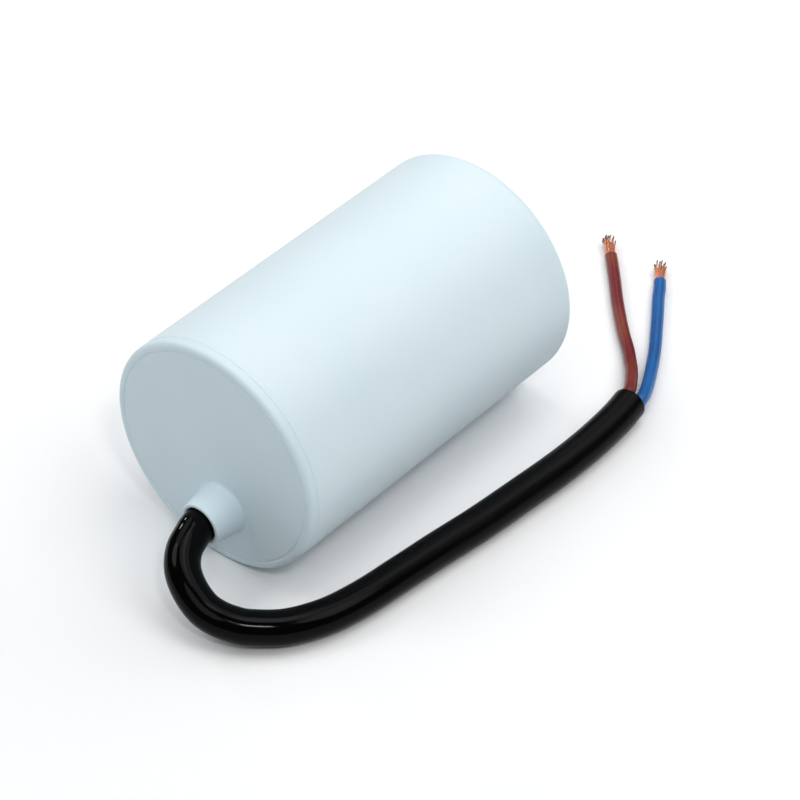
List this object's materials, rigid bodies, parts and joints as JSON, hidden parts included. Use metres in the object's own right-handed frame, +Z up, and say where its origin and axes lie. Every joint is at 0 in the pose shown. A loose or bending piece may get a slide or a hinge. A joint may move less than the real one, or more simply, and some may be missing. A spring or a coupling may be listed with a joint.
{
  "type": "motor run capacitor",
  "caption": "Round plastic motor run capacitor lying on its side, with a black two-core cable that loops back beside it to stripped brown and blue leads.",
  "frame": {"origin": "bottom centre of the can with its lid and boss, on the plane the part lies on, halfway between the boss's mouth and the closed end", "axes": "+X along the can's axis from the lid to the closed end, +Z up, the cable comes round to the -Y side"},
  "size_m": [0.1335, 0.0594, 0.045],
  "materials": {
    "can_plastic": "satin moulded plastic, pale blue-white",
    "lid_plastic": "satin moulded plastic, pale blue-white",
    "resin": "cast resin",
    "film": "metallised film edge",
    "core_plastic": "plain tube",
    "sprayed_zinc": "dull sprayed metal",
    "brown_insulation": "soft reddish-brown insulation",
    "blue_insulation": "soft blue insulation",
    "copper": "bare copper strands",
    "solder": "solder, softly shining",
    "black_sheath": "smooth black sheath, shining where it bends"
  },
  "bodies": {
    "root": {"case": "can_plastic", "lid": "lid_plastic", "potting_resin": "resin", "film_roll": "film", "winding_core": "core_plastic", "end_spray_near": "sprayed_zinc", "end_spray_far": "sprayed_zinc", "brown_inner_lead": "brown_insulation", "blue_inner_lead": "blue_insulation", "brown_bare_end": "copper", "blue_bare_end": "copper", "solder_joint_brown": "solder", "solder_joint_blue": "solder", "sheath": "black_sheath", "brown_core": "brown_insulation", "blue_core": "blue_insulation", "brown_strands": "copper", "blue_strands": "copper"}
  },
  "joints": []
}
